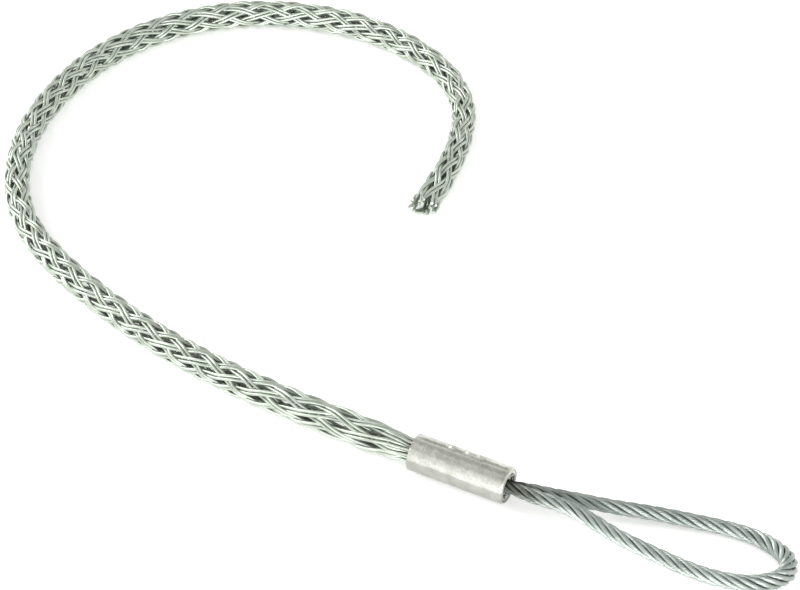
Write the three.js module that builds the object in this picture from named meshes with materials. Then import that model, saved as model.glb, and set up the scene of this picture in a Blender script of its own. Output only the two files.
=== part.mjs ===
import * as THREE from 'three';

// Cable pulling grip: a sleeve woven of steel wire and an eye of wire rope, both held in one
// pressed ferrule. Millimetres, +Z up. The grip lies on the plane z = 0. The ferrule's axis runs
// along X, the eye points towards +X, and the slack sleeve curls away from -X round to +Y.
// The origin is the middle of the footprint, on that plane.

// Ferrule
const ferruleLength = 35;
const ferruleDiameter = 13;
const ferruleBore = 8.4;
const rimRadius = 1.3;
const boreLip = 0.8;
const edgeBreak = 0.3;
const flatCount = 6;
const flatDepth = 0.14;
const ferruleSides = 48;

// Wire rope of the eye
const ropeDiameter = 5;
const ropeLay = 34;
const strandCount = 6;
const strandSides = 6;
const coreSides = 5;
const strandClearance = 0.17;
const coreClearance = 0.3;
const ropeStep = 3.8;

// How the two rope legs sit in the ferrule
const boreClearance = 0.15;
const legClearance = 0.15;
const legTilt = THREE.MathUtils.degToRad(38);
const legSetback = 4;
const legSpread = 9;

// Woven sleeve
const ribbonsEachWay = 6;
const wiresPerRibbon = 2;
const wireDiameter = 0.93;
const pairTuck = 0.16;
const weaveClearance = 0.3;
const cellLength = 14;
const cellLengthAtFerrule = 20;
const cellSettleDistance = 80;
const nearestCrossing = 14;
const fanDistance = 9;
const wireOverrun = 4;
const settleDistance = 45;

// How the sleeve's wires sit in the ferrule
const wireSetback = 1.5;
const wireStraight = 1.5;
const gatherShare = 0.6;
const gatherClearance = 0.24;
const pressedThickness = 0.8;

// Outside diameter of the slack sleeve, at distances from the ferrule
const girth = [
  [0, 8], [15, 11.3], [60, 11.1], [150, 10.9], [200, 10.2], [240, 10.5], [300, 11.3], [430, 11.3],
  [500, 10.1], [535, 10], [568, 10.9],
];

// Middle line of the sleeve: distance behind the ferrule's end, and sideways offset
const sleeveRoute = [
  [14, 0.3], [29, 1], [43, 1.7], [57, 2.5], [71, 3.7], [85, 5.5], [100, 8], [115, 11.4],
  [131, 16], [147, 21.6], [164, 28.9], [181, 38.6], [197, 52.6], [210, 71], [218.5, 91.5],
  [222.5, 112], [223, 132], [220.3, 150], [214.5, 166.5], [206.3, 180.6], [196, 192.7],
  [183.7, 202.6], [169.8, 209.8], [154.6, 214.4], [138.5, 216.2], [121.4, 215], [103.5, 210],
  [86.2, 200.5], [71.8, 184.5], [63, 162.5], [59.2, 140.8], [58.7, 121],
];

// Middle line of the eye: distance beyond the ferrule's end, sideways offset, and height above
// the height at which the rope lies flat
const eyeRoute = [
  [5, -1.75, 5.35], [12, -1.6, 5.3], [20, -0.9, 5], [29, -1.2, 3.7], [40, -2.4, 1.8], [54.5, -3.3, 0.7],
  [67.5, -3.7, 0.2], [77, -2.6, 0], [84.5, -0.4, 0], [90.3, 3.6, 0], [93.2, 8.8, 0], [91.9, 13.7, 0],
  [87, 17.2, 0], [80, 19.1, 0], [72, 19, 0], [58, 16.4, 0.3], [46, 13.2, 0.9], [34, 9.3, 1.7],
  [22, 5.9, 2.5], [13, 3.6, 2.85], [5, 2.15, 2.85],
];

const steel = { color: 0xaab0ac, roughness: 0.42, metalness: 0.85 };
const aluminium = { color: 0xc6c6c2, roughness: 0.38, metalness: 0.9 };

const turn = 2 * Math.PI;
const axisHeight = ferruleDiameter / 2;
const up = new THREE.Vector3(0, 0, 1);

function named(name, geometry, finish) {
  const mesh = new THREE.Mesh(geometry, new THREE.MeshStandardMaterial(finish));
  mesh.name = name;
  return mesh;
}

// A closed solid through rings of points. Each ring goes round anticlockwise, seen from the
// ring after it.
function solidThroughRings(rings) {
  const sides = rings[0].length;
  const last = (rings.length - 1) * sides;
  const index = [];
  for (let i = 0; i < last; i += sides) {
    for (let j = 0; j < sides; j += 1) {
      const a = i + j;
      const b = i + ((j + 1) % sides);
      index.push(a, b, b + sides, a, b + sides, a + sides);
    }
  }
  for (let j = 1; j < sides - 1; j += 1) {
    index.push(0, j + 1, j);
    index.push(last, last + j, last + j + 1);
  }
  const geometry = new THREE.BufferGeometry();
  geometry.setFromPoints(rings.flat());
  geometry.setIndex(index);
  geometry.computeVertexNormals();
  return geometry;
}

// Ferrule: a tube with a rounded rim at the eye end and soft flats where the die pressed it
function ferruleGeometry() {
  const outer = ferruleDiameter / 2;
  const inner = ferruleBore / 2;
  const half = ferruleLength / 2;
  const profile = [
    new THREE.Vector2(inner, -half),
    new THREE.Vector2(outer - edgeBreak, -half),
    new THREE.Vector2(outer, -half + edgeBreak),
  ];
  for (let i = 0; i <= 3; i += 1) {
    const angle = (i / 3) * (turn / 4);
    const x = outer - rimRadius * (1 - Math.cos(angle));
    profile.push(new THREE.Vector2(x, half - rimRadius * (1 - Math.sin(angle))));
  }
  profile.push(new THREE.Vector2(inner + boreLip, half));
  profile.push(new THREE.Vector2(inner, half - boreLip));
  profile.push(profile[0].clone());
  const geometry = new THREE.LatheGeometry(profile, ferruleSides);
  const position = geometry.attributes.position;
  for (let i = 0; i < position.count; i += 1) {
    const radius = Math.hypot(position.getX(i), position.getZ(i));
    const angle = Math.atan2(position.getZ(i), position.getX(i));
    const flatPitch = turn / flatCount;
    const fromFlat = angle - Math.round(angle / flatPitch) * flatPitch;
    const flatRadius = (radius - flatDepth) / Math.cos(fromFlat);
    const pressed = radius > inner + boreLip ? Math.min(radius, flatRadius) / radius : 1;
    position.setX(i, position.getX(i) * pressed);
    position.setZ(i, position.getZ(i) * pressed);
  }
  geometry.rotateZ(-turn / 4);
  geometry.translate(0, 0, axisHeight);
  return geometry;
}

// Rope: strands wound round a core, along one middle line that leaves the ferrule and returns
const ropeRadius = ropeDiameter / 2;
const pressedLegRadius = Math.min(ropeRadius, (ferruleBore / 2 - boreClearance - legClearance / 2) / 2);
const legOffset = pressedLegRadius + legClearance / 2;

function legPoint(x, side) {
  const y = -side * legOffset * Math.cos(legTilt);
  return new THREE.Vector3(x, y, axisHeight + side * legOffset * Math.sin(legTilt));
}

function eyeCurve() {
  const near = ferruleLength / 2;
  const far = -near + legSetback;
  const spots = [far, (far + near) / 2, near];
  const points = spots.map((x) => legPoint(x, 1));
  eyeRoute.forEach(([x, y, lift]) => {
    points.push(new THREE.Vector3(near + x, y, ropeRadius + lift));
  });
  spots.reverse().forEach((x) => points.push(legPoint(x, -1)));
  const curve = new THREE.CatmullRomCurve3(points);
  curve.arcLengthDivisions = 2000;
  return curve;
}

function ropeGeometry(curve, steps, middleRadius, memberRadius, phase, sides) {
  const points = curve.getSpacedPoints(steps);
  const frames = curve.computeFrenetFrames(steps, false);
  const length = curve.getLength();
  const pressedLength = ferruleLength - legSetback;
  const rings = points.map((point, i) => {
    const along = (length * i) / steps;
    const outside = Math.min(along, length - along) - pressedLength;
    const share = THREE.MathUtils.clamp(outside / legSpread, 0, 1);
    const squeeze = THREE.MathUtils.lerp(pressedLegRadius / ropeRadius, 1, share);
    const angle = phase + (turn * (along - length / 2)) / ropeLay;
    const across = (theta, size) => frames.normals[i].clone().multiplyScalar(Math.cos(theta) * size)
      .addScaledVector(frames.binormals[i], Math.sin(theta) * size);
    const middle = point.clone().add(across(angle, middleRadius * squeeze));
    const ring = [];
    for (let j = 0; j < sides; j += 1) {
      ring.push(middle.clone().add(across(angle + (turn * j) / sides, memberRadius * squeeze)));
    }
    return ring;
  });
  return solidThroughRings(rings);
}

function buildEye(group) {
  const curve = eyeCurve();
  const steps = Math.round(curve.getLength() / ropeStep);
  const layAngle = Math.atan((Math.PI * (2 / 3) * ropeDiameter) / ropeLay);
  const spacing = 2 * Math.sin(Math.PI / strandCount) * Math.cos(layAngle);
  const strandRadius = (spacing * ropeRadius - strandClearance) / (2 + spacing);
  const windingRadius = ropeRadius - strandRadius;
  const coreRadius = windingRadius - strandRadius - coreClearance;
  group.add(named('eye_core_strand', ropeGeometry(curve, steps, 0, coreRadius, 0, coreSides), steel));
  for (let k = 0; k < strandCount; k += 1) {
    const phase = (turn * k) / strandCount;
    const geometry = ropeGeometry(curve, steps, windingRadius, strandRadius, phase, strandSides);
    group.add(named(`eye_strand_${k + 1}`, geometry, steel));
  }
}

// Sleeve: ribbons of parallel wires, half of them winding each way. At every crossing one ribbon
// is raised and the other lowered, and each ribbon is raised at every second crossing.
const ribbonThickness = wireDiameter;
const ribbonWidth = wiresPerRibbon * wireDiameter - pairTuck;
const weaveRise = (ribbonThickness + weaveClearance) / 2;
const crossingTurn = Math.PI / ribbonsEachWay;
const gatherRadius = ferruleBore / 2 - boreClearance - pressedThickness / 2;
const gatherPitch = gatherShare * crossingTurn;
const pressedWidth = 2 * gatherRadius * Math.sin(gatherPitch / 2) - gatherClearance;

function sleeveRadius(distance) {
  const next = girth.findIndex(([place]) => place > distance);
  if (next < 1) {
    return girth.at(next < 0 ? -1 : 0)[1] / 2;
  }
  const [before, after] = [girth[next - 1], girth[next]];
  const share = (distance - before[0]) / (after[0] - before[0]);
  return THREE.MathUtils.lerp(before[1], after[1], share) / 2;
}

function sleeveCurve() {
  const near = -ferruleLength / 2;
  const points = [-near, 0, near].map((x) => new THREE.Vector3(x, 0, axisHeight));
  let distance = 0;
  let previous = [0, 0];
  sleeveRoute.forEach(([x, y]) => {
    distance += Math.hypot(x - previous[0], y - previous[1]);
    previous = [x, y];
    const share = THREE.MathUtils.clamp(distance / settleDistance, 0, 1);
    const height = THREE.MathUtils.lerp(axisHeight, sleeveRadius(distance), share);
    points.push(new THREE.Vector3(near - x, y, height));
  });
  const curve = new THREE.CatmullRomCurve3(points);
  curve.arcLengthDivisions = 4000;
  return curve;
}

// Where the ribbons' rings lie, from the ferrule to the mouth: distance from the ferrule's end,
// turn in crossings, rise, middle radius, width, thickness, and whether the ribbons are gathered
// for the ferrule. The weave is set out from the mouth, whose last crossing is number 0, and the
// crossings before it have numbers below that.
function sleeveStations(sleeveLength) {
  const free = { width: ribbonWidth, thickness: ribbonThickness, gathered: false };
  const middleRadius = (distance) => sleeveRadius(distance) - weaveRise - ribbonThickness / 2;
  const beyond = wireOverrun / (cellLength / 2);
  const stations = [{
    ...free,
    distance: sleeveLength,
    crossing: beyond,
    rise: weaveRise * (1 - 2 * beyond),
    radius: middleRadius(sleeveLength),
  }];
  let distance = sleeveLength - wireOverrun;
  let crossing = 0;
  while (distance > nearestCrossing) {
    const rise = crossing % 2 === 0 ? weaveRise : -weaveRise;
    stations.unshift({ ...free, distance, crossing, rise, radius: middleRadius(distance) });
    const share = THREE.MathUtils.clamp(distance / cellSettleDistance, 0, 1);
    distance -= THREE.MathUtils.lerp(cellLengthAtFerrule, cellLength, share) / 2;
    crossing -= 1;
  }
  const uncrossed = { crossing: crossing + 0.5, rise: 0 };
  stations.unshift({ ...free, ...uncrossed, distance: fanDistance, radius: middleRadius(fanDistance) });
  [wireStraight, -wireStraight, wireSetback - ferruleLength].forEach((place) => {
    stations.unshift({
      ...uncrossed,
      distance: place,
      radius: gatherRadius,
      width: pressedWidth,
      thickness: pressedThickness,
      gathered: true,
    });
  });
  return stations;
}

function ribbonGeometry(curve, stations, number, direction) {
  const length = curve.getLength();
  const rings = stations.map((station) => {
    const share = Math.min(1, (ferruleLength + station.distance) / length);
    const centre = curve.getPointAt(share);
    const tangent = curve.getTangentAt(share);
    const side = new THREE.Vector3().crossVectors(up, tangent).normalize();
    const over = new THREE.Vector3().crossVectors(tangent, side);
    const fromLegs = direction * crossingTurn * station.crossing + crossingTurn * (1 + 2 * number);
    const half = Math.PI / 2;
    const lune = (Math.floor(fromLegs / Math.PI) + 0.5) * Math.PI;
    const placed = station.gathered ? lune + (fromLegs - lune) * gatherShare : fromLegs;
    const theta = legTilt + placed;
    const radial = side.clone().multiplyScalar(Math.cos(theta)).addScaledVector(over, Math.sin(theta));
    const along = side.clone().multiplyScalar(Math.cos(theta + half));
    along.addScaledVector(over, Math.sin(theta + half));
    const middle = centre.clone().addScaledVector(radial, station.radius + direction * station.rise);
    const reach = station.width / 2;
    const depth = station.thickness / 2;
    return [
      middle.clone().addScaledVector(radial, depth),
      middle.clone().addScaledVector(along, reach),
      middle.clone().addScaledVector(radial, -depth),
      middle.clone().addScaledVector(along, -reach),
    ];
  });
  return solidThroughRings(rings);
}

function buildSleeve(group) {
  const curve = sleeveCurve();
  const stations = sleeveStations(curve.getLength() - ferruleLength);
  for (let k = 0; k < ribbonsEachWay; k += 1) {
    group.add(named(`sleeve_ribbon_right_${k + 1}`, ribbonGeometry(curve, stations, k, 1), steel));
    group.add(named(`sleeve_ribbon_left_${k + 1}`, ribbonGeometry(curve, stations, k, -1), steel));
  }
}

const grip = new THREE.Group();
grip.add(named('ferrule', ferruleGeometry(), aluminium));
buildEye(grip);
buildSleeve(grip);

const box = new THREE.Box3().setFromObject(grip, true);
grip.position.set(-(box.min.x + box.max.x) / 2, -(box.min.y + box.max.y) / 2, -box.min.z);

export default grip;
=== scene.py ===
import math
import random

import bpy
import numpy as np
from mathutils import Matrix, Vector


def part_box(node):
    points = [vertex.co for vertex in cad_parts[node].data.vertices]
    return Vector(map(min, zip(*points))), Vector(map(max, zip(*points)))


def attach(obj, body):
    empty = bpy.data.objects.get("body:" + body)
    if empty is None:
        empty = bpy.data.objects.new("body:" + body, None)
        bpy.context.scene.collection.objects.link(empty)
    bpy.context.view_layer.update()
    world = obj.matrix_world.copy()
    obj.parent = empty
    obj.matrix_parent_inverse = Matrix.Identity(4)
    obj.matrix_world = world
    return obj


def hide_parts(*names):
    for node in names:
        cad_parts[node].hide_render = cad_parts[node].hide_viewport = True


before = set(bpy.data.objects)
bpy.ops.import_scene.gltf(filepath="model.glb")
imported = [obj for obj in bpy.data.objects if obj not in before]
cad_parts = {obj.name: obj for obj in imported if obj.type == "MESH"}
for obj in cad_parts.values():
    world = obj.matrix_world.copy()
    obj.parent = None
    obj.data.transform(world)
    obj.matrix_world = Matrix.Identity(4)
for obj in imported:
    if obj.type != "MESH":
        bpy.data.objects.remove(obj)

MM = 0.001
TURN = 2 * math.pi
UP = Vector((0, 0, 1))

# The ferrule's place comes from its solid in the frame, and its sizes are the solid's.
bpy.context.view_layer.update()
ferrule_low, ferrule_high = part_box("ferrule")
ferrule_centre = (ferrule_low + ferrule_high) / 2
FERRULE_LENGTH = 35 * MM
FERRULE_RADIUS = 6.5 * MM
BORE_RADIUS = 4.2 * MM

# Camera: where it stands and where it looks, from the ferrule's middle, and its lens
CAMERA_PLACE = (217.4 * MM, -467.9 * MM, 531.41 * MM)
CAMERA_AIM = (-62.07 * MM, 75.81 * MM, 0)
CAMERA_LENS = 99
CAMERA_SENSOR = 36

# Eye: wire rope of six strands round a core strand, each strand laid from fine wires
ROPE_RADIUS = 2.5 * MM
ROPE_LAY = 28 * MM
STRANDS = 6
STRAND_RADIUS = 0.8 * MM
STRAND_LAY = 19 * MM
STRAND_WIRES = 12
STRAND_SMOOTHING = 0.5
FINE_WIRE_ARC = 0.9
ROPE_STEP = 1.2 * MM
LAY_WANDER = 0.05
LAY_WANDER_LENGTH = 41 * MM

# Where the rope turns back, its strands open out and rise a little
TIP_REACH = 15 * MM
TIP_EXTRA_TURNS = 0.3
TIP_OPENING = 0.34
TIP_UNEVENNESS = 0.25
TIP_LIFT = 0.55 * MM
TIP_BULGE = 0.7 * MM

# The two legs of the rope inside the ferrule, pressed side by side on a slant
LEG_OFFSET = 2.0625 * MM
LEG_TILT = math.radians(38)
LEG_RADIUS = 1.9875 * MM
LEG_SPREAD = 9 * MM
LEG_START = -12 * MM

# Middle line of the eye, in millimetres: distance beyond the ferrule's end, sideways offset,
# and height above the height at which the rope lies flat
EYE_ROUTE = [
    (5, -1.75, 5.35), (12, -1.6, 5.3), (20, -0.9, 5), (29, -1.2, 3.7), (40, -2.4, 1.8),
    (54.5, -3.3, 0.7), (67.5, -3.7, 0.2), (77, -2.6, 0), (84.5, -0.4, 0), (90.3, 3.6, 0),
    (93.2, 8.8, 0), (91.9, 13.7, 0), (87, 17.2, 0), (80, 19.1, 0), (72, 19, 0), (58, 16.4, 0.3),
    (46, 13.2, 0.9), (34, 9.3, 1.7), (22, 5.9, 2.5), (13, 3.6, 2.85), (5, 2.15, 2.85),
]

# Middle line of the slack sleeve, in millimetres: distance behind the ferrule, sideways offset
SLEEVE_ROUTE = [
    (14, 0.3), (29, 1), (43, 1.7), (57, 2.5), (71, 3.7), (85, 5.5), (100, 8), (115, 11.4),
    (131, 16), (147, 21.6), (164, 28.9), (181, 38.6), (197, 52.6), (210, 71), (218.5, 91.5),
    (222.5, 112), (223, 132), (220.3, 150), (214.5, 166.5), (206.3, 180.6), (196, 192.7),
    (183.7, 202.6), (169.8, 209.8), (154.6, 214.4), (138.5, 216.2), (121.4, 215), (103.5, 210),
    (86.2, 200.5), (71.8, 184.5), (63, 162.5), (59.2, 140.8), (58.7, 121),
]
SLEEVE_STEP = 1.2 * MM
SETTLE_DISTANCE = 45 * MM

# Outside diameter of the sleeve, at distances from the ferrule, in millimetres
GIRTH = [
    (0, 9.2), (8, 11), (15, 11.5), (60, 11.1), (150, 10.9), (200, 10.2), (240, 10.5),
    (300, 11.3), (430, 11.3), (500, 10.1), (535, 10), (568, 10.9),
]

# How much nearer to the ferrule the weave lies at its top than at its middle height, at
# distances from the ferrule, in millimetres
LEAN = [
    (0, 0), (30, 2.2), (60, 2.6), (100, 3), (125, 2.2), (150, 1), (187, 1.2), (220, 1.2),
    (274, 0.9), (294, 1), (313, 2.8), (330, 3), (346, 2.4), (362, 1.3), (378, 0.2),
    (394, -1.1), (410, -2.2), (430, -2.8), (443, -2.4), (462, -0.4), (481, -1), (503, -1.6),
    (569, -0.6),
]
LEAN_ROUNDS = 3

# Weave: ribbons of two wires, which rise and dip by the same amount as they cross
RIBBONS_EACH_WAY = 6
RIBBON_TURN = math.pi / RIBBONS_EACH_WAY
WIRE_RADIUS = 0.57 * MM
WIRE_SIDES = 8
WEAVE_RISE = 0.52 * MM
TWIN_SPACING = 1.12
CELL_LENGTH = 14 * MM
CELL_LENGTH_AT_FERRULE = 36 * MM
CELL_SETTLE_DISTANCE = 76 * MM
NEAREST_CROSSING = 14 * MM
WIRE_OVERRUN = 10 * MM

# How each wire strays from its even course: by how much, and over what length
RADIUS_WANDER = (0.06 * MM, 23 * MM)
SPACING_WANDER = (0.08, 67 * MM)
LONG_WANDER = (0.045, 53 * MM)
SHORT_WANDER = (0.03, 19 * MM)

# Where the wires gather into the ferrule: in two rings at its face, and packed into two rows
# further in. The places in the rows are numbered across each rope leg's side of the bore.
FAN_DISTANCE = 9 * MM
SPREAD_DISTANCE = 6.75 * MM
TUCK_START = -3 * MM
TUCK_END = 1 * MM
GATHER_DEPTH = 6 * MM
GRIPPED_SHARE = 0.88
GATHERED_TWIN = 0.25
RING_RADII = (3.72 * MM, 2.75 * MM)
OUTER_ROW = (0, 1, 3, 5, 6, 8, 10, 11)
OUTER_ROW_RADIUS = 3.7 * MM
OUTER_ROW_PITCH = math.radians(14.57)
INNER_ROW = (2, 4, 7, 9)
INNER_ROW_RADIUS = 2.77 * MM
INNER_ROW_PITCH = math.radians(19.4)

# Open mouth: it sags to an oval, and the wires end unevenly
FRAY_LENGTH = 8 * MM
SAG_LENGTH = 24 * MM
MOUTH_HEIGHT = 0.62
MOUTH_WIDTH = 1.1
TIP_BEND = 0.5

# Ferrule: sides of its rings, rings along it, and how its two ends are finished
FERRULE_SIDES = 128
BODY_STEPS = 64
BODY_START = 0.8 * MM
BORE_CHAMFER = 0.3 * MM
SOCK_END_FACE = 0.9 * MM
SOCK_END_EDGE = 0.03 * MM
EYE_END_ROUNDING = 1.1 * MM
EYE_END_DROP = 0.75 * MM
EYE_END_STEPS = (15, 30, 45, 60, 75, 90)
EYE_END_BORE = 6 * MM

# The eye end's groove and raised lip, from outside in: depth and radius in millimetres
EYE_END_LIP = (
    (0.04, 5.7), (0.32, 5.62), (0.36, 5.5), (0.1, 5.38), (0, 5.25), (0, 4.9), (0.06, 4.7),
    (0.22, 4.5), (0.5, 4.34), (1, 4.23), (1.6, 4.2),
)

# Marks of the press. Angles are in degrees from the front, rising over the top.
FLAT_ANGLES = (8, 62, 150, 205, 250, 310)
FLAT_DEPTH = 0.1 * MM
FLAT_REACH = 0.9
SEAM_ANGLES = (104, 284)
SEAM_WIDTH = 0.42 * MM
SEAM_HEIGHT = 0.2 * MM
SEAM_UNEVENNESS = 0.35
SEAM_WAVES = 1.9
GROOVE_OFFSET = 1.1 * MM
GROOVE_WIDTH = 0.4 * MM
GROOVE_DEPTH = 0.16 * MM
BEADS = 18
BEAD_WIDTH = 0.45 * MM
BEAD_SHARE = 0.5
DENTS = 46
PRESSED_RADIUS = 5.3 * MM
END_FACE = 0.02 * MM
PRESS_FADE = (0.2 * MM, 2.2 * MM)

# The middle of the sky's dark patch, and the sky's levels by nearness to it
DARK_SKY = (-0.09, 0.19, 0.978)
SKY_LEVELS = ((0.0, 1.25), (0.55, 1.12), (0.78, 0.87), (0.92, 0.55), (1.0, 0.44))
SKY_WARMTH = 0.98

# Lamps: name, place, size and power
LAMPS = (
    ("front_light", (0.75, -1.75, 0.34), (1.7, 0.32), 29),
    ("left_light", (-1.7, -0.3, 1.2), (1.0, 1.0), 24),
)
FLOOR_SIZE = 6

# Painted shade in the depth of the weave and of the rope, by nearness to the outside
DEPTH_SHADE = (0.155, 0.172, 0.147, 1)
ROPE_DEPTH_SHADE = ((0.6, 0.45), (0.86, 1.0))
MESH_DEPTH_SHADE = ((0.55, 0.0), (0.76, 0.64), (0.87, 1.0))

# Grease on the rope near the ferrule, and painted shade on the leg at the back
GREASE = (0.06, 0.062, 0.048, 1)
GREASE_END = 42 * MM
GREASE_SHARE = 0.8
BACK_LEG_SHADE_COLOUR = (0.2, 0.23, 0.215, 1)
BACK_LEG_SHADE_SHARE = 0.27
BACK_LEG_OFFSET = 10 * MM
TIP_START = 100 * MM

# Zinc, where it is light and where it is dark
ROPE_ZINC = ((0.5, 0.55, 0.52, 1), (0.28, 0.325, 0.3, 1))
MESH_ZINC = ((0.64, 0.7, 0.62, 1), (0.38, 0.43, 0.37, 1))

# Aluminium: drawn dark and light, rubbed along the top, stained, and in the shade below
DRAWN_ALUMINIUM = ((0.55, 0.56, 0.525, 1), (0.75, 0.75, 0.72, 1))
RUBBED_ALUMINIUM = (0.66, 0.67, 0.62, 1)
STAINED_ALUMINIUM = (0.31, 0.32, 0.26, 1)
SHADED_UNDERSIDE_ALUMINIUM = (0.2, 0.205, 0.19, 1)

chance = random.Random(11)


# Small helpers

def lerp(a, b, share):
    return a + (b - a) * share


def ease(value, low, high):
    """Rises smoothly from 0 at low to 1 at high."""
    share = min(1, max(0, (value - low) / (high - low)))
    return share * share * (3 - 2 * share)


def bell(value):
    return math.exp(-(value ** 2))


def wave(distance, length, start):
    return math.sin(TURN * distance / length + start)


def table_value(table, distance):
    """Reads a table of millimetres at a distance in metres, and gives metres."""
    places, values = zip(*table)
    return float(np.interp(distance / MM, places, values)) * MM


def turn_between(angle, other):
    """The angle from the other one, between minus and plus half a turn."""
    return (angle - other + math.pi) % TURN - math.pi


def from_ferrule(x, y, z):
    """A point by its distance from the ferrule's middle along and across, and its height."""
    return Vector((ferrule_centre.x + x, ferrule_centre.y + y, z))


def select_only(piece):
    bpy.ops.object.select_all(action="DESELECT")
    piece.select_set(True)
    bpy.context.view_layer.objects.active = piece


def place_in_scene(name, data):
    thing = bpy.data.objects.new(name, data)
    bpy.context.scene.collection.objects.link(thing)
    return thing


def point_at(thing, place, aim):
    """Stands a camera or a lamp at its place, looking at a point."""
    thing.location = place
    thing.rotation_euler = (aim - Vector(place)).to_track_quat("-Z", "Y").to_euler()


# Camera

def make_camera():
    data = bpy.data.cameras.new("camera")
    data.sensor_width = CAMERA_SENSOR
    data.lens = CAMERA_LENS
    camera = place_in_scene("camera", data)
    point_at(camera, from_ferrule(*CAMERA_PLACE), from_ferrule(*CAMERA_AIM))
    bpy.context.scene.camera = camera


# Lines through points

def rounded_line(knots, pieces=24):
    """Close points on the smooth line through the knots."""
    padded = [knots[0] * 2 - knots[1], *knots, knots[-1] * 2 - knots[-2]]
    line = []
    for before, start, end, after in zip(padded, padded[1:], padded[2:], padded[3:]):
        pairs = ((before, start), (start, end), (end, after))
        first, middle, last = ((b - a).length ** 0.5 for a, b in pairs)
        across_start = (end - before) / (first + middle)
        across_end = (after - start) / (middle + last)
        leave = (start - before) / first - across_start + (end - start) / middle
        arrive = (end - start) / middle - across_end + (after - end) / last
        for i in range(pieces):
            t = i / pieces
            line.append(
                start * (1 - 3 * t**2 + 2 * t**3)
                + end * (3 * t**2 - 2 * t**3)
                + leave * middle * (t - 2 * t**2 + t**3)
                + arrive * middle * (t**3 - t**2)
            )
    line.append(knots[-1])
    return line


class Line:
    """A dense line that gives its point and direction at a distance from its start."""

    reach = 0.5 * MM

    def __init__(self, knots):
        self.points = np.array(rounded_line(knots))
        steps = np.linalg.norm(np.diff(self.points, axis=0), axis=1)
        self.distances = np.concatenate([[0], np.cumsum(steps)])
        self.length = float(self.distances[-1])

    def at(self, distance):
        rows = (self.points[:, axis] for axis in range(3))
        return Vector([np.interp(distance, self.distances, row) for row in rows])

    def direction(self, distance):
        low = max(0, distance - self.reach)
        high = min(self.length, distance + self.reach)
        return (self.at(high) - self.at(low)).normalized()


# Wires as meshes

def make_wires(name, lines, radius=0, outline=None):
    """One mesh of wires. Each line is a list of points with a share of the radius and a twist."""
    data = bpy.data.curves.new(name, "CURVE")
    data.dimensions = "3D"
    if outline:
        data.bevel_mode = "OBJECT"
        data.bevel_object = outline
    else:
        data.bevel_depth = radius
        data.bevel_resolution = (WIRE_SIDES - 4) // 2
    data.use_fill_caps = True
    for line in lines:
        spline = data.splines.new("POLY")
        spline.points.add(len(line) - 1)
        spline.points.foreach_set("co", [c for spot in line for c in (*spot[0], 1)])
        spline.points.foreach_set("radius", [spot[1] for spot in line])
        spline.points.foreach_set("tilt", [spot[2] for spot in line])
        spline.use_smooth = True
    select_only(place_in_scene(name, data))
    bpy.ops.object.convert(target="MESH")
    return bpy.context.object


def mark_depth(piece, middles, radii, batch=4000):
    """Writes how near each vertex is to the outside of its bundle: 0 inside, 1 outside."""
    count = len(piece.data.vertices)
    places = np.empty(count * 3)
    piece.data.vertices.foreach_get("co", places)
    places = places.reshape(count, 3)
    shares = np.empty(count)
    for start in range(0, count, batch):
        gaps = np.linalg.norm(places[start:start + batch, None] - middles[None], axis=2)
        nearest = gaps.argmin(axis=1)
        shares[start:start + batch] = gaps[np.arange(len(nearest)), nearest] / radii[nearest]
    depth = piece.data.attributes.new("outer_share", "FLOAT", "POINT")
    depth.data.foreach_set("value", shares)


# Eye

def leg_point(x, side):
    across = side * LEG_OFFSET
    offset = Vector((x, -across * math.cos(LEG_TILT), across * math.sin(LEG_TILT)))
    return ferrule_centre + offset


def eye_line():
    near = FERRULE_LENGTH / 2
    spots = [LEG_START, (LEG_START + near) / 2, near]
    knots = [leg_point(x, 1) for x in spots]
    for x, y, lift in EYE_ROUTE:
        knots.append(from_ferrule(near + x * MM, y * MM, ROPE_RADIUS + lift * MM))
    knots += [leg_point(x, -1) for x in reversed(spots)]
    return Line(knots)


def strand_outline():
    """The outline of a strand across its length: its fine wires side by side, as a flat curve."""
    half = math.pi / STRAND_WIRES
    wire = STRAND_RADIUS * math.sin(half) / (1 + math.sin(half))
    ring = STRAND_RADIUS - wire
    corners = []
    for k in range(STRAND_WIRES):
        middle = 2 * half * k
        groove = lerp(ring * math.cos(half), STRAND_RADIUS, STRAND_SMOOTHING)
        corners.append((groove, middle - half))
        for turned in (-FINE_WIRE_ARC, 0, FINE_WIRE_ARC):
            x = ring + wire * math.cos(turned)
            y = wire * math.sin(turned)
            radius = lerp(math.hypot(x, y), STRAND_RADIUS, STRAND_SMOOTHING)
            corners.append((radius, middle + math.atan2(y, x)))
    data = bpy.data.curves.new("strand_outline", "CURVE")
    data.dimensions = "2D"
    spline = data.splines.new("POLY")
    spline.points.add(len(corners) - 1)
    for spot, (radius, angle) in zip(spline.points, corners):
        spot.co = (radius * math.cos(angle), radius * math.sin(angle), 0, 1)
    spline.use_cyclic_u = True
    return place_in_scene("strand_outline", data)


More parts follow.
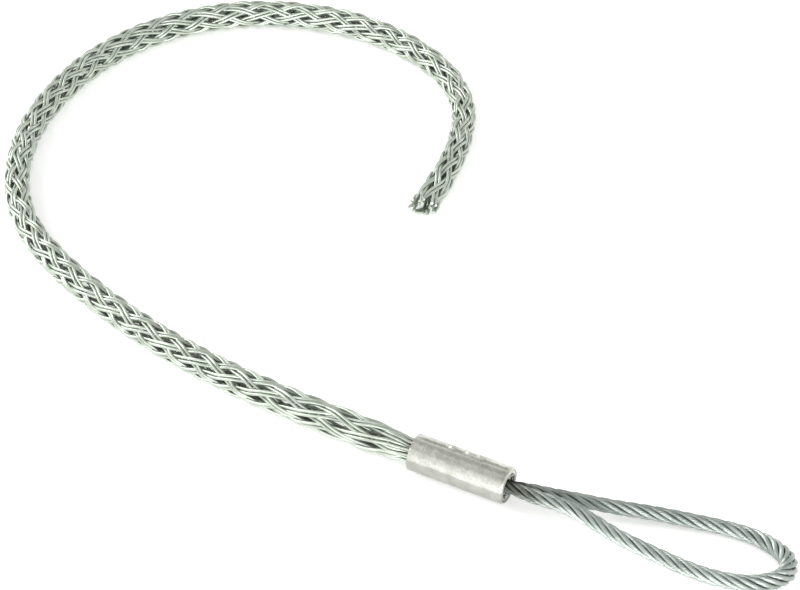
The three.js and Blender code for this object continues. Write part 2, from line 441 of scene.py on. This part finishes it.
def make_eye():
    line = eye_line()
    count = round(line.length / ROPE_STEP)
    places = [line.length * i / count for i in range(count + 1)]
    points = [line.at(d) for d in places]
    directions = [line.direction(d) for d in places]
    normal = directions[0].orthogonal().normalized()
    normals = []
    for direction in directions:
        normal = (normal - direction * normal.dot(direction)).normalized()
        normals.append(normal)
    pressed_length = FERRULE_LENGTH / 2 - LEG_START
    middle = line.length / 2
    winding = ROPE_RADIUS - STRAND_RADIUS
    strands = []
    for k in range(STRANDS + 1):
        strand = []
        start = chance.uniform(0, TURN)
        for d, point, direction, across in zip(places, points, directions, normals):
            outside = min(d, line.length - d) - pressed_length
            squeeze = lerp(LEG_RADIUS / ROPE_RADIUS, 1, ease(outside, 0, LEG_SPREAD))
            from_tip = (d - middle) / TIP_REACH
            opening = bell(from_tip)
            beside = direction.cross(across)
            turns = (d - middle) / ROPE_LAY + TIP_EXTRA_TURNS * math.tanh(from_tip)
            wander = LAY_WANDER * wave(d, LAY_WANDER_LENGTH, start)
            angle = TURN * (k / STRANDS + turns) + wander
            out = across * math.cos(angle) + beside * math.sin(angle)
            centre = point + (UP * TIP_LIFT + Vector((TIP_BULGE, 0, 0))) * opening
            if k < STRANDS:
                slack = 1 + TIP_OPENING * opening * (1 + TIP_UNEVENNESS * math.sin(start))
                centre = centre + out * winding * squeeze * slack
            strand.append((centre, squeeze, -TURN * d / STRAND_LAY))
        strands.append(strand)
    outline = strand_outline()
    rope = make_wires("eye_rope", strands, outline=outline)
    mark_depth(rope, np.array(points), np.full(len(points), ROPE_RADIUS))
    bpy.data.objects.remove(outline)
    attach(rope, "root")
    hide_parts("eye_core_strand", *[f"eye_strand_{k + 1}" for k in range(STRANDS)])
    return rope


# Sleeve

def sleeve_radius(distance):
    return table_value(GIRTH, distance) / 2


def sleeve_line():
    near = FERRULE_LENGTH / 2
    knots = [ferrule_centre + Vector((x, 0, 0)) for x in (near, 0, -near)]
    distance = 0
    previous = (0, 0)
    for x, y in SLEEVE_ROUTE:
        distance += math.hypot(x - previous[0], y - previous[1]) * MM
        previous = (x, y)
        share = min(1, distance / SETTLE_DISTANCE)
        height = lerp(ferrule_centre.z, sleeve_radius(distance), share)
        knots.append(from_ferrule(-near - x * MM, y * MM, height))
    return Line(knots)


def crossing_places(sleeve_length):
    """Distances and numbers of the crossings, set out from the mouth, whose last one is 0."""
    places = [(sleeve_length, WIRE_OVERRUN / (CELL_LENGTH / 2))]
    distance = sleeve_length - WIRE_OVERRUN
    crossing = 0
    while distance > NEAREST_CROSSING:
        places.insert(0, (distance, crossing))
        share = min(1, distance / CELL_SETTLE_DISTANCE)
        distance -= lerp(CELL_LENGTH_AT_FERRULE, CELL_LENGTH, share) / 2
        crossing -= 1
    places.insert(0, (FAN_DISTANCE, crossing + 0.5))
    return places


def gripped_place(gathered):
    """Where a wire lies in the ferrule: its angle and its row's radius."""
    side = math.floor(gathered / math.pi) * math.pi
    rank = round((gathered - side) / (RIBBON_TURN / 2) - 0.5)
    if rank in OUTER_ROW:
        row, pitch, row_radius = OUTER_ROW, OUTER_ROW_PITCH, OUTER_ROW_RADIUS
    else:
        row, pitch, row_radius = INNER_ROW, INNER_ROW_PITCH, INNER_ROW_RADIUS
    slot = (row.index(rank) - (len(row) - 1) / 2) * pitch
    return side + math.pi / 2 + slot, row_radius


class Sleeve:
    """The sleeve's middle line and the courses of its wires."""

    def __init__(self):
        line = sleeve_line()
        self.length = line.length - FERRULE_LENGTH
        self.distances, self.crossings = zip(*crossing_places(self.length))
        count = round(line.length / SLEEVE_STEP)
        self.frames = []
        for i in range(count + 1):
            d = line.length * i / count
            direction = line.direction(d)
            side = UP.cross(direction).normalized()
            over = direction.cross(side)
            self.frames.append((d - FERRULE_LENGTH, line.at(d), side, over))

    def sag(self, d):
        return ease(d, self.length - SAG_LENGTH, self.length)

    def middles_and_radii(self):
        """The bundle's middle and outside radius all along, as it sags at the mouth."""
        middles = []
        radii = []
        for d, centre, _, _ in self.frames:
            sag = self.sag(d)
            middles.append(centre - UP * centre.z * (1 - MOUTH_HEIGHT) * sag)
            outside = max(sleeve_radius(d), RING_RADII[0] + WIRE_RADIUS)
            radii.append(outside * lerp(1, MOUTH_HEIGHT, sag))
        return np.array(middles), np.array(radii)

    def course(self, crossing, sign, k):
        """The angle of ribbon k's middle, by how many crossings along it is."""
        return RIBBON_TURN * (sign * crossing + 1 + 2 * k)

    def crossing_at(self, d, sign, k):
        """How many crossings along ribbon k is, with the weave's lean."""
        lean = table_value(LEAN, d)
        crossing = float(np.interp(d, self.distances, self.crossings))
        for _ in range(LEAN_ROUNDS):
            turned = LEG_TILT + self.course(crossing, sign, k)
            leant = d + lean * math.sin(turned)
            crossing = float(np.interp(leant, self.distances, self.crossings))
        return crossing

    def wire(self, sign, k, twin, drift):
        """The points of one of ribbon k's two wires."""
        ring_radius = RING_RADII[(k + (twin > 0) + (sign > 0)) % 2]
        gathered = self.course(self.crossings[0], sign, k) + RIBBON_TURN * twin * GATHERED_TWIN
        packed, row_radius = gripped_place(gathered)
        start = -FERRULE_LENGTH + chance.uniform(-0.3, 0.7) * MM
        cut = self.length - chance.uniform(0, 2.4) * MM
        flare = chance.uniform(-0.5, 0.9) * MM
        stray = chance.uniform(-0.3, 0.3)
        stub = chance.uniform(0.4, 2.6) * MM
        tuck = chance.uniform(0, 0.3) * MM
        phase = chance.uniform(0, TURN)
        wire = []
        for d, centre, side, over in self.frames:
            if d < start or d > cut:
                continue
            crossing = self.crossing_at(d, sign, k)
            fray = ease(d, self.length - FRAY_LENGTH, self.length)
            middle_radius = sleeve_radius(d) - WEAVE_RISE - WIRE_RADIUS
            rise = WEAVE_RISE * math.cos(math.pi * crossing) if d > FAN_DISTANCE else 0
            radius = middle_radius + sign * rise + flare * fray
            radius += RADIUS_WANDER[0] * wave(d, RADIUS_WANDER[1], phase)
            bias = math.atan(RIBBON_TURN * middle_radius / (CELL_LENGTH / 2))
            apart = TWIN_SPACING + SPACING_WANDER[0] * wave(d, SPACING_WANDER[1], drift[2])
            theta = self.course(crossing, sign, k)
            theta += twin * WIRE_RADIUS * apart / math.cos(bias) / radius
            theta += LONG_WANDER[0] * wave(d, LONG_WANDER[1], drift[0])
            theta += SHORT_WANDER[0] * wave(d, SHORT_WANDER[1], drift[1])
            theta += stray * fray
            share = 1
            if d < FAN_DISTANCE:
                spread = ease(d, 0, SPREAD_DISTANCE)
                tucked = tuck * (1 - spread) * ease(d, TUCK_START, TUCK_END)
                radius = lerp(ring_radius, radius, spread) - tucked
                theta = lerp(gathered, theta, spread)
                share = lerp(GRIPPED_SHARE, 1, spread)
            if d < 0:
                depth = ease(-d, 0, GATHER_DEPTH)
                radius = lerp(ring_radius, row_radius, depth)
                theta = lerp(gathered, packed, depth)
            sag = self.sag(d)
            wide = lerp(1, MOUTH_WIDTH, sag) * math.cos(LEG_TILT + theta)
            high = lerp(1, MOUTH_HEIGHT, sag) * math.sin(LEG_TILT + theta)
            place = centre + (side * wide + over * high) * radius
            place.z -= centre.z * (1 - MOUTH_HEIGHT) * sag
            place.z = max(place.z, WIRE_RADIUS)
            wire.append((place, share, 0))
        tip = wire[-1][0]
        bend = Vector([chance.uniform(-TIP_BEND, TIP_BEND) for _ in range(3)])
        tip = tip + ((tip - wire[-2][0]).normalized() + bend).normalized() * stub
        tip.z = max(tip.z, WIRE_RADIUS)
        wire.append((tip, 1, 0))
        return wire


def make_sleeve():
    sleeve = Sleeve()
    middles, radii = sleeve.middles_and_radii()
    pieces = []
    for way, sign in (("right", 1), ("left", -1)):
        for k in range(RIBBONS_EACH_WAY):
            drift = [chance.uniform(0, TURN) for _ in range(3)]
            wires = [sleeve.wire(sign, k, twin, drift) for twin in (-1, 1)]
            piece = make_wires(f"sleeve_wires_{way}_{k + 1}", wires, WIRE_RADIUS)
            mark_depth(piece, middles, radii)
            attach(piece, "root")
            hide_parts(f"sleeve_ribbon_{way}_{k + 1}")
            pieces.append(piece)
    return pieces


# Ferrule

def ferrule_profile():
    """Rings from the middle of the bore, out over the sock end, along, and in at the eye end."""
    half = FERRULE_LENGTH / 2
    rings = [
        (0, BORE_RADIUS),
        (-half + BORE_CHAMFER, BORE_RADIUS),
        (-half, BORE_RADIUS + BORE_CHAMFER),
        (-half, FERRULE_RADIUS - SOCK_END_FACE),
        (-half, FERRULE_RADIUS - SOCK_END_EDGE),
        (-half + SOCK_END_EDGE, FERRULE_RADIUS),
    ]
    first = -half + BODY_START
    last = half - EYE_END_ROUNDING
    for i in range(BODY_STEPS + 1):
        rings.append((lerp(first, last, i / BODY_STEPS), FERRULE_RADIUS))
    for turned in EYE_END_STEPS:
        angle = math.radians(turned)
        drop = EYE_END_DROP * (1 - math.cos(angle))
        rings.append((last + EYE_END_ROUNDING * math.sin(angle), FERRULE_RADIUS - drop))
    for depth, radius in EYE_END_LIP:
        rings.append((half - depth * MM, radius * MM))
    rings.append((half - EYE_END_BORE, BORE_RADIUS))
    return rings


def make_ferrule():
    rings = ferrule_profile()
    bpy.ops.object.select_all(action="DESELECT")
    bpy.ops.mesh.primitive_circle_add(
        vertices=FERRULE_SIDES,
        radius=rings[0][1],
        location=ferrule_centre + Vector((rings[0][0], 0, 0)),
        rotation=(0, math.pi / 2, 0),
    )
    ferrule = bpy.context.object
    ferrule.name = "ferrule_shell"
    bpy.ops.object.transform_apply(location=True, rotation=True, scale=True)
    bpy.ops.object.mode_set(mode="EDIT")
    bpy.ops.mesh.select_all(action="SELECT")
    for (x, radius), (next_x, next_radius) in zip(rings, rings[1:] + rings[:1]):
        step = {"value": (next_x - x, 0, 0)}
        bpy.ops.mesh.extrude_region_move(TRANSFORM_OT_translate=step)
        if next_radius != radius:
            share = next_radius / radius
            centre = ferrule_centre + Vector((next_x, 0, 0))
            bpy.ops.transform.resize(value=(1, share, share), center_override=centre)
    bpy.ops.mesh.select_all(action="SELECT")
    bpy.ops.mesh.remove_doubles(threshold=0.002 * MM)
    bpy.ops.mesh.normals_make_consistent(inside=False)
    bpy.ops.object.mode_set(mode="OBJECT")
    press_ferrule(ferrule)
    bpy.ops.object.shade_smooth()
    bpy.ops.object.shade_smooth_by_angle(angle=math.radians(40))
    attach(ferrule, "root")
    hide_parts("ferrule")
    return ferrule


def draw_bead():
    """A bead of metal on the seam: its place along the ferrule, its length and its height."""
    place = chance.uniform(-6, 7) * MM
    length = chance.uniform(0.5, 1.2) * MM
    return place, length, chance.uniform(0.2, 0.55) * MM


def draw_dent():
    """A shallow dent: its place along the ferrule and round it, its size and its depth."""
    place = chance.uniform(-16, 16) * MM
    around = chance.uniform(0, TURN)
    size = chance.uniform(0.8, 2.2) * MM
    return place, around, size, chance.uniform(0.02, 0.07) * MM


def press_ferrule(ferrule):
    """The marks of the press: flats, a seam of squeezed-out metal on both sides, and dents."""
    half = FERRULE_LENGTH / 2
    flats = [math.radians(a) for a in FLAT_ANGLES]
    seams = [(a, math.radians(a)) for a in SEAM_ANGLES]
    beads = [draw_bead() for _ in range(BEADS)]
    dents = [draw_dent() for _ in range(DENTS)]
    for vertex in ferrule.data.vertices:
        x, y, z = vertex.co - ferrule_centre
        radius = math.hypot(y, z)
        if radius < PRESSED_RADIUS or abs(x) > half - END_FACE:
            continue
        angle = math.atan2(z, -y)
        inboard = ease(half - abs(x), *PRESS_FADE)
        wanted = radius
        for flat in flats:
            off = turn_between(angle, flat)
            if abs(off) < FLAT_REACH:
                wanted = min(wanted, (radius - FLAT_DEPTH) / math.cos(off))
        for start, seam in seams:
            across = turn_between(angle, seam) * radius
            uneven = 1 + SEAM_UNEVENNESS * math.sin(x / MM * SEAM_WAVES + start)
            wanted += SEAM_HEIGHT * bell(across / SEAM_WIDTH) * inboard * uneven
            wanted -= GROOVE_DEPTH * inboard * bell((across + GROOVE_OFFSET) / GROOVE_WIDTH)
            for place, length, height in beads:
                shape = bell((x - place) / length) * bell(across / BEAD_WIDTH)
                wanted += height * BEAD_SHARE * inboard * shape
        for place, around, size, depth in dents:
            off = turn_between(angle, around)
            wanted -= depth * inboard * bell(math.hypot(x - place, off * radius) / size)
        if z < 0:
            wanted = min(wanted, FERRULE_RADIUS * radius / -z)
        share = wanted / radius
        vertex.co = ferrule_centre + Vector((x, y * share, z * share))


# Shader maths

class Value:
    """A shader socket that takes part in sums and products."""

    def __init__(self, shader, socket):
        self.shader = shader
        self.socket = socket

    def maths(self, operation, first, second):
        settings = {"operation": operation}
        return self.shader.node("ShaderNodeMath", settings, {0: first, 1: second})

    def __add__(self, other):
        return self.maths("ADD", self, other)

    __radd__ = __add__

    def __mul__(self, other):
        return self.maths("MULTIPLY", self, other)

    __rmul__ = __mul__

    def __sub__(self, other):
        return self.maths("SUBTRACT", self, other)

    def __rsub__(self, other):
        return self.maths("SUBTRACT", other, self)


class Shader:
    """The nodes of a material or of the world, which end in the surface node."""

    def __init__(self, owner, surface="Principled BSDF"):
        self.owner = owner
        owner.use_nodes = True
        self.tree = owner.node_tree
        self.surface = self.tree.nodes[surface]

    def node(self, kind, settings=None, inputs=None, output=0):
        made = self.tree.nodes.new(kind)
        for name, value in (settings or {}).items():
            if name == "stops":
                self.set_stops(made.color_ramp.elements, value)
            else:
                setattr(made, name, value)
        for socket, value in (inputs or {}).items():
            self.feed(made.inputs[socket], value)
        return Value(self, made.outputs[output])

    def set_stops(self, elements, stops):
        while len(elements) < len(stops):
            elements.new(0.5)
        for element, (place, colour) in zip(elements, stops):
            element.position = place
            element.color = colour if isinstance(colour, tuple) else (colour,) * 3 + (1,)

    def feed(self, socket, value):
        if isinstance(value, Value):
            self.tree.links.new(value.socket, socket)
        else:
            socket.default_value = value

    def set(self, **values):
        for name, value in values.items():
            self.feed(self.surface.inputs[name.replace("_", " ")], value)

    def place(self, scale=(1, 1, 1), centre=(0, 0, 0)):
        where = self.node("ShaderNodeTexCoord", output="Object")
        shifted = self.vector_maths("SUBTRACT", where, centre)
        return self.vector_maths("MULTIPLY", shifted, scale)

    def vector_maths(self, operation, first, second, output=0):
        settings = {"operation": operation}
        return self.node("ShaderNodeVectorMath", settings, {0: first, 1: second}, output)

    def part_of(self, vector, axis):
        return self.node("ShaderNodeSeparateXYZ", None, {"Vector": vector}, output=axis)

    def noise(self, vector, scale, detail=3, roughness=0.55):
        inputs = {"Vector": vector, "Scale": scale, "Detail": detail, "Roughness": roughness}
        return self.node("ShaderNodeTexNoise", None, inputs)

    def blend(self, factor, a, b):
        inputs = {0: factor, 6: a, 7: b}
        return self.node("ShaderNodeMix", {"data_type": "RGBA"}, inputs, output=2)

    def ramp(self, value, *stops):
        return self.node("ShaderNodeValToRGB", {"stops": stops}, {"Fac": value})

    def bump(self, height, strength, distance):
        inputs = {"Height": height, "Strength": strength, "Distance": distance}
        return self.node("ShaderNodeBump", None, inputs)


# Materials

def galvanised(name, zinc, roughness, depth_shade_stops, greasy_and_back_shaded=False):
    """Zinc-coated wire: a greenish grey with cloudy patches, each wire a little different,
    with painted shade in its depth. The rope also darkens with grease near the ferrule, and its
    leg at the back gets painted shade."""
    shader = Shader(bpy.data.materials.new(name))
    light, dark = zinc
    place = shader.place()
    cloud = shader.noise(place, 260, 4)
    speckle = shader.noise(place, 2400, 3)
    each = shader.node("ShaderNodeNewGeometry", output="Random Per Island")
    mottle = cloud * 0.6 + speckle * 0.25 + each * 0.2
    colour = shader.blend(shader.ramp(mottle, (0.35, 0.0), (0.75, 1.0)), dark, light)
    attribute = {"attribute_name": "outer_share"}
    outer_share = shader.node("ShaderNodeAttribute", attribute, output=2)
    # Painted shade: the colour darkens towards the inside of each wire bundle, where shade falls
    colour = shader.blend(shader.ramp(outer_share, *depth_shade_stops), DEPTH_SHADE, colour)
    if greasy_and_back_shaded:
        near_ferrule = shader.place(centre=ferrule_centre)
        along = shader.part_of(near_ferrule, "X")
        across = shader.part_of(near_ferrule, "Y")
        reach = along * (1 / GREASE_END) + (cloud - 0.5) * 0.4
        grease = shader.ramp(reach, (0.5, 1.0), (1.0, 0.0))
        colour = shader.blend(grease * GREASE_SHARE, colour, GREASE)
        # Painted shade: the leg at the back is darkened, up to the rope's turn at the tip
        back_leg_shade_mask = shader.ramp(across * (1 / BACK_LEG_OFFSET), (0.3, 0.0), (0.8, 1.0))
        before_tip = shader.ramp(along * (1 / TIP_START), (0.8, 1.0), (0.98, 0.0))
        colour = shader.blend(back_leg_shade_mask * before_tip * BACK_LEG_SHADE_SHARE, colour, BACK_LEG_SHADE_COLOUR)
    shader.set(
        Base_Color=colour,
        Metallic=0.9,
        Roughness=roughness + (speckle - 0.5) * 0.25 + (cloud - 0.5) * 0.2,
        Normal=shader.bump(speckle, 0.3, 0.05 * MM),
    )
    return shader.owner


def pressed_aluminium():
    """Satin aluminium, drawn along its length, scuffed and darker where grease has stayed, with
    painted shade over its lower part.
    """
    shader = Shader(bpy.data.materials.new("pressed_aluminium"))
    drawn = shader.place((0.12, 1, 1), ferrule_centre)
    place = shader.place(centre=ferrule_centre)
    streaks = shader.noise(drawn, 1900, 4)
    cloud = shader.noise(place, 170, 4)
    grain = shader.noise(place, 1500, 4)
    spots = shader.ramp(shader.noise(place, 520, 5, 0.7), (0.5, 0.0), (0.72, 1.0))
    stain = shader.ramp(cloud * 0.6 + grain * 0.4, (0.36, 1.0), (0.62, 0.0))
    level = shader.part_of(place, "Z") * (0.5 / FERRULE_RADIUS) + 0.5
    clean = shader.blend(streaks, *DRAWN_ALUMINIUM)
    rubbed = shader.ramp(level, (0.8, 0.0), (0.95, 1.0))
    bright = shader.blend(rubbed, clean, RUBBED_ALUMINIUM)
    metal = shader.blend(stain * 0.7, bright, STAINED_ALUMINIUM)
    depth = level + (cloud - 0.5) * 0.12
    # Painted shade: darkest at the bottom, fading out just above the middle height
    underside_shade = shader.ramp(depth, (0.1, 0.9), (0.28, 0.46), (0.61, 0.42), (0.655, 0.0))
    mottled_underside_shade = underside_shade + (grain - 0.5) * underside_shade * 1.4
    shader.set(
        Base_Color=shader.blend(mottled_underside_shade, metal, SHADED_UNDERSIDE_ALUMINIUM),
        Metallic=0.95,
        Roughness=0.25 + stain * 0.1 + spots * 0.16 + (grain - 0.5) * 0.15,
        Normal=shader.bump(streaks * 0.3 + grain * 0.7, 0.5, 0.12 * MM),
    )
    return shader.owner


def finish_metal(pieces, material):
    for piece in pieces:
        piece.data.materials.clear()
        piece.data.materials.append(material)


# Floor and light

def make_floor():
    bpy.ops.object.select_all(action="DESELECT")
    bpy.ops.mesh.primitive_plane_add(size=FLOOR_SIZE, location=(0, 0, 0))
    floor = bpy.context.object
    floor.name = "floor"
    shader = Shader(bpy.data.materials.new("pale_floor"))
    shader.set(Base_Color=(0.9, 0.9, 0.9, 1), Roughness=0.9)
    shader.set(Emission_Color=(1, 1, 1, 1), Emission_Strength=0.3)
    floor.data.materials.append(shader.owner)


def make_lights():
    """Pale walls, a darker patch of ceiling, and two soft lamps."""
    world = bpy.data.worlds.new("studio")
    bpy.context.scene.world = world
    shader = Shader(world, "Background")
    where = shader.node("ShaderNodeTexCoord", output="Generated")
    nearness = shader.vector_maths("DOT_PRODUCT", where, DARK_SKY, output="Value")
    stops = [(place, (level, level, level * SKY_WARMTH, 1)) for place, level in SKY_LEVELS]
    shader.set(Color=shader.ramp(nearness, *stops), Strength=1.0)
    for name, place, size, power in LAMPS:
        data = bpy.data.lights.new(name, "AREA")
        data.shape = "RECTANGLE"
        data.size, data.size_y = size
        data.energy = power
        point_at(place_in_scene(name, data), place, Vector((0, 0, 0)))
    bpy.context.scene.view_settings.view_transform = "Standard"


make_camera()
rope = make_eye()
sleeve_pieces = make_sleeve()
ferrule = make_ferrule()
finish_metal([rope], galvanised("rope_wire", ROPE_ZINC, 0.34, ROPE_DEPTH_SHADE, greasy_and_back_shaded=True))
finish_metal(sleeve_pieces, galvanised("mesh_wire", MESH_ZINC, 0.42, MESH_DEPTH_SHADE))
finish_metal([ferrule], pressed_aluminium())
make_floor()
make_lights()
